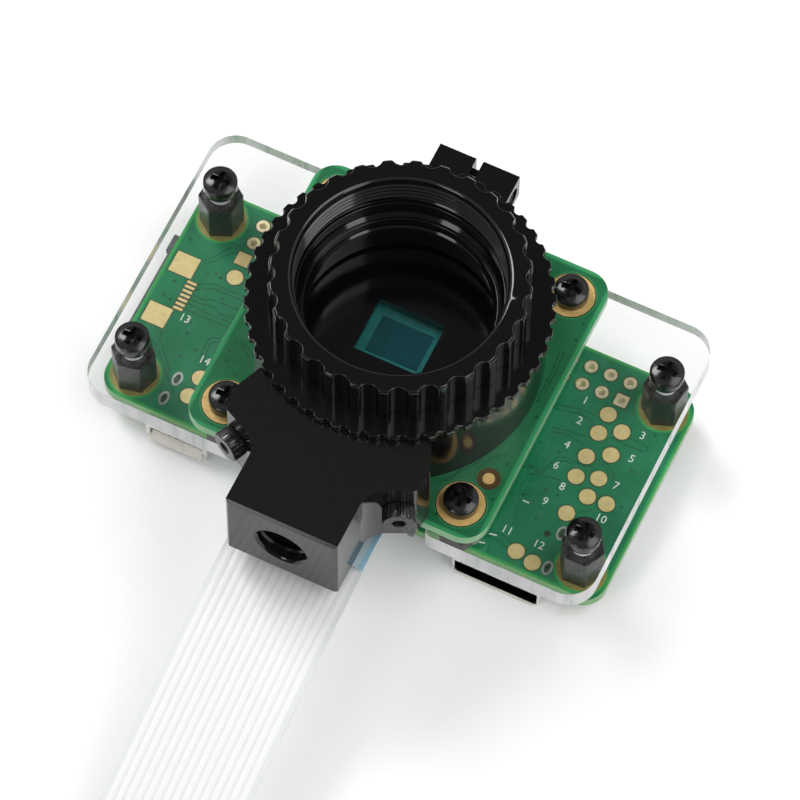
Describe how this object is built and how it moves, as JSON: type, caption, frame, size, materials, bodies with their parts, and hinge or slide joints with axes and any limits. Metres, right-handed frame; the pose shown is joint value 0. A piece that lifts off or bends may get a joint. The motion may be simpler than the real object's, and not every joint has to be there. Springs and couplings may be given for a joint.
{
  "type": "camera module",
  "caption": "Camera board with a round threaded lens mount, back focus ring and tripod block, on a clear plate over a small single-board computer, with a white flat cable.",
  "frame": {"origin": "on the lens axis at the flange face that a lens screws down to", "axes": "+Z out of the lens mount towards the lens, -Y towards the tripod block and the flat cable, +X to the right along the long side of the boards"},
  "size_m": [0.0661, 0.1835, 0.0348],
  "materials": {
    "clear_acrylic": "clear, polished faces, bright cut edges",
    "computer_board_green": "green solder mask, semi-gloss",
    "camera_board_green": "green solder mask, semi-gloss",
    "black_nylon": "satin black nylon",
    "housing_black": "glossy black",
    "ring_black": "satin black anodised",
    "block_black": "fine satin black",
    "dark_steel": "dark steel",
    "bare_steel": "bright plated steel",
    "sensor_ceramic": "matt ceramic",
    "sensor_glass": "clear cover glass",
    "black_rubber": "matt rubber",
    "filter_glass": "blue-green filter glass",
    "socket_white": "cream plastic",
    "latch_grey": "dark grey plastic",
    "chip_black": "matt black epoxy",
    "passive_tan": "tan ceramic",
    "ribbon_white": "white satin film with fine lengthwise lines",
    "stiffener_blue": "pale blue film"
  },
  "bodies": {
    "module": {"mounting_plate": "clear_acrylic", "computer_board": "computer_board_green", "camera_board": "camera_board_green", "hex_standoffs": "black_nylon", "plate_screws": "black_nylon", "board_screws": "black_nylon", "camera_screws": "black_nylon", "camera_nuts": "black_nylon", "camera_spacers": "black_nylon", "lens_mount_housing": "housing_black", "tripod_mount": "block_black", "tripod_screws": "dark_steel", "lock_screw": "dark_steel", "housing_screws": "dark_steel", "image_sensor": "sensor_ceramic", "sensor_glass": "sensor_glass", "sensor_gasket": "black_rubber", "filter_glass": "filter_glass", "camera_ribbon_socket": "socket_white", "edge_ribbon_socket": "socket_white", "camera_regulators": "chip_black", "camera_crystal": "bare_steel", "camera_passives": "passive_tan", "computer_passives": "passive_tan", "processor_chip": "chip_black", "power_chip": "chip_black", "ribbon_cable": "ribbon_white", "ribbon_stiffener": "stiffener_blue", "video_socket": "bare_steel", "usb_sockets": "bare_steel", "card_socket": "bare_steel", "video_tongue": "chip_black", "usb_tongues": "chip_black"},
    "focus_ring": {"back_focus_ring": "ring_black", "mount_adapter": "ring_black"},
    "camera_latch": {"camera_ribbon_latch": "latch_grey"},
    "edge_latch": {"edge_ribbon_latch": "latch_grey"}
  },
  "joints": [
    {"name": "focus_turn", "type": "hinge", "parent": "module", "child": "focus_ring", "pos_m": [0, 0, -0.0065], "axis": [0, 0, 1], "range_deg": [0, 360]},
    {"name": "camera_latch_slide", "type": "slide", "parent": "module", "child": "camera_latch", "axis": [0, -1, 0], "range_m": [0, 0.001]},
    {"name": "edge_latch_slide", "type": "slide", "parent": "module", "child": "edge_latch", "axis": [-1, 0, 0], "range_m": [0, 0.001]}
  ]
}
